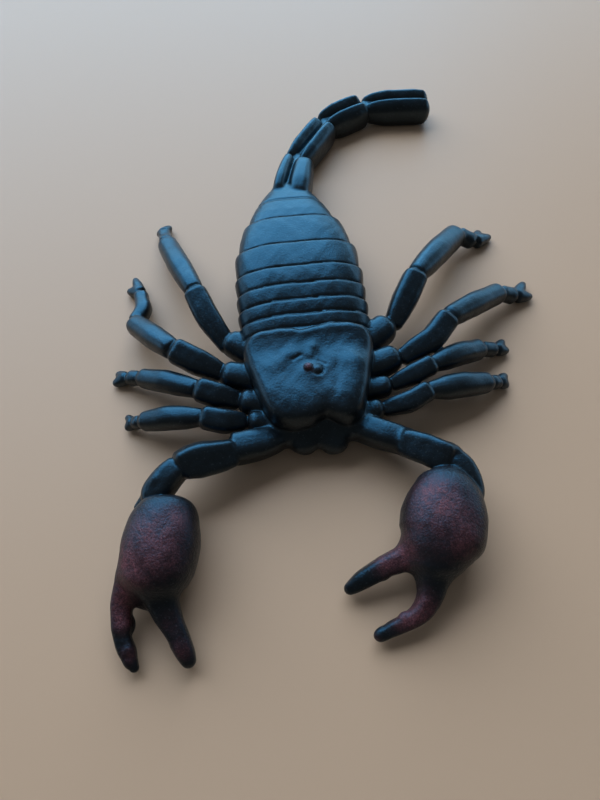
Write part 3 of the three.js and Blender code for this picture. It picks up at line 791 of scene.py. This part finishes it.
class Tree:
    """Short ways to add and join nodes."""

    def __init__(self, name):
        self.material = bpy.data.materials.new(name)
        self.material.use_nodes = True
        self.t = self.material.node_tree
        self.shader = self.t.nodes["Principled BSDF"]

    def add(self, kind, inputs=None, **props):
        n = self.t.nodes.new(kind)
        for k, v in props.items():
            setattr(n, k, v)
        for k, v in (inputs or {}).items():
            if isinstance(v, bpy.types.NodeSocket):
                self.t.links.new(v, n.inputs[k])
            else:
                n.inputs[k].default_value = v
        return n

    def math(self, op, a, b, clamp=False):
        return self.add("ShaderNodeMath", {0: a, 1: b}, operation=op, use_clamp=clamp).outputs[0]

    def mixed(self, share, a, b):
        n = self.t.nodes.new("ShaderNodeMix")
        n.data_type = "RGBA"
        for k, v in ((0, share), (6, a), (7, b)):
            if isinstance(v, bpy.types.NodeSocket):
                self.t.links.new(v, n.inputs[k])
            else:
                n.inputs[k].default_value = v
        return n.outputs[2]

    def noise(self, where, scale, detail=2.0, rough=0.5):
        return self.add("ShaderNodeTexNoise", {"Vector": where, "Scale": scale, "Detail": detail, "Roughness": rough}).outputs[0]

    def span(self, value, a, b, c=0.0, d=1.0):
        return self.add("ShaderNodeMapRange", {0: value, 1: a, 2: b, 3: c, 4: d}).outputs[0]

    def put(self, socket, value):
        if isinstance(value, bpy.types.NodeSocket):
            self.t.links.new(value, self.shader.inputs[socket])
        else:
            self.shader.inputs[socket].default_value = value


def rubber(name, pebble, gloss):
    m = Tree(name)
    place = m.add("ShaderNodeTexCoord").outputs["Object"]
    mm = m.add("ShaderNodeVectorMath", {0: place, 1: (1000, 1000, 1000)}, operation="MULTIPLY").outputs[0]
    # pebbled grain
    cells = m.add("ShaderNodeTexVoronoi", {"Vector": mm, "Scale": 1.7, "Smoothness": 0.8, "Randomness": 1.0}, feature="SMOOTH_F1").outputs["Distance"]
    fine = m.noise(mm, 3.4, 3.0, 0.6)
    rise = m.math("ADD", m.math("MULTIPLY", cells, -1.0), m.math("MULTIPLY", fine, 0.9))
    bumps = m.add("ShaderNodeBump", {"Height": rise, "Distance": 0.00012, "Strength": pebble})
    m.put("Normal", bumps.outputs[0])
    # black rubber with a thin uneven bloom
    tone = m.noise(mm, 0.085, 4.0, 0.55)
    patch = m.noise(mm, 0.6, 3.0, 0.6)
    bloom = m.span(m.math("ADD", m.math("MULTIPLY", tone, 0.65), m.math("MULTIPLY", patch, 0.35)), 0.36, 0.64)
    colour = m.mixed(bloom, (0.0040, 0.0055, 0.0080, 1), (0.0085, 0.0130, 0.0185, 1))
    flecks = m.span(m.noise(mm, 1.9, 1.0, 0.5), 0.65, 0.73, 0.0, 0.6)
    colour = m.mixed(flecks, colour, (0.040, 0.056, 0.072, 1))
    # airbrushed red-brown, broken up by the grain
    paint = m.add("ShaderNodeAttribute", attribute_name="paint").outputs["Fac"]
    cover = m.math("MULTIPLY", paint, m.span(m.noise(mm, 0.45, 4.0, 0.65), 0.28, 0.62, 0.35, 1.15))
    cover = m.math("MULTIPLY", cover, m.span(rise, -0.35, 0.35, 0.55, 1.15), True)
    red = m.mixed(m.span(fine, 0.35, 0.65), (0.105, 0.0270, 0.0380, 1), (0.230, 0.090, 0.108, 1))
    colour = m.mixed(cover, colour, red)
    m.put("Base Color", colour)
    worn = m.span(m.math("ADD", patch, m.math("MULTIPLY", fine, 0.5)), 0.5, 1.0, 0.28, 0.40)
    m.put("Roughness", m.math("ADD", worn, m.math("MULTIPLY", cover, 0.36)))
    m.put("Specular IOR Level", gloss)
    m.put("Specular Tint", (0.6, 0.84, 1.0, 1))
    return m.material


black = rubber("black_rubber", 0.36, 0.5)
painted = rubber("painted_rubber", 0.75, 0.33)
for name, o in pieces.items():
    o.data.materials.append(painted if name.startswith("claw") else black)

# ------------------------------------------------------------------ stage, light and camera
floor_mesh = bpy.data.meshes.new("floor")
floor_mesh.from_pydata([(-3, -3, 0), (3, -3, 0), (3, 3, 0), (-3, 3, 0)], [], [(0, 1, 2, 3)])
floor = bpy.data.objects.new("floor", floor_mesh)
bpy.context.scene.collection.objects.link(floor)
pale = bpy.data.materials.new("pale_floor")
pale.use_nodes = True
shader = pale.node_tree.nodes["Principled BSDF"]
shader.inputs["Base Color"].default_value = (0.67, 0.54, 0.42, 1)
shader.inputs["Roughness"].default_value = 0.5
shader.inputs["Specular IOR Level"].default_value = 0.2
floor_mesh.materials.append(pale)

world = bpy.data.worlds.new("studio")
world.use_nodes = True
world.node_tree.nodes["Background"].inputs["Color"].default_value = (1.0, 0.95, 0.9, 1)
world.node_tree.nodes["Background"].inputs["Strength"].default_value = 0.10
bpy.context.scene.world = world


def area(name, at, to, size, power, colour):
    d = bpy.data.lights.new(name, "AREA")
    d.shape = "RECTANGLE"
    d.size, d.size_y = size
    d.energy = power
    d.color = colour
    o = bpy.data.objects.new(name, d)
    o.location = at
    o.rotation_euler = (Vector(to) - Vector(at)).to_track_quat("-Z", "Y").to_euler()
    bpy.context.scene.collection.objects.link(o)
    return o


# blue daylight from behind shows in the gloss, and a softer warm light gives the rest
window = area("window", (-0.24, 0.95, 0.82), (0, 0.02, 0), (1.6, 1.0), 29.0, (0.14, 0.56, 1.0))
window.visible_diffuse = False
low = area("low_window", (0.12, 1.25, 0.36), (0, 0.02, 0), (2.4, 0.34), 14.0, (0.24, 0.64, 1.0))
low.visible_diffuse = False
key = area("key", (-0.30, 1.0, 0.82), (0, 0.02, 0), (2.2, 1.4), 23.0, (1.0, 1.0, 1.0))
key.visible_glossy = False
for name, at, power in (("side_left", (-1.15, 0.42, 0.22), 3.2), ("side_right", (1.15, 0.45, 0.22), 3.0)):
    side = area(name, at, (0, 0.02, 0), (1.0, 0.5), power, (0.30, 0.66, 1.0))
    side.visible_diffuse = False

cam = bpy.data.cameras.new("camera")
cam.sensor_fit = "AUTO"
cam.sensor_width = 36.0
cam.lens = 36.0 * 610.0 / 800.0
cam.clip_start, cam.clip_end = 0.01, 20
eye = bpy.data.objects.new("camera", cam)
right, up, back_ = Vector((0.9953, -0.0969, 0.0)), Vector((0.0847, 0.8705, 0.4848)), Vector((-0.04697, -0.48253, 0.87462))
eye.matrix_world = Matrix(
    (
        (right.x, up.x, back_.x, -0.0115),
        (right.y, up.y, back_.y, -0.0984),
        (right.z, up.z, back_.z, 0.1531),
        (0, 0, 0, 1),
    )
)
bpy.context.scene.collection.objects.link(eye)
bpy.context.scene.camera = eye
bpy.context.scene.view_settings.view_transform = "Standard"
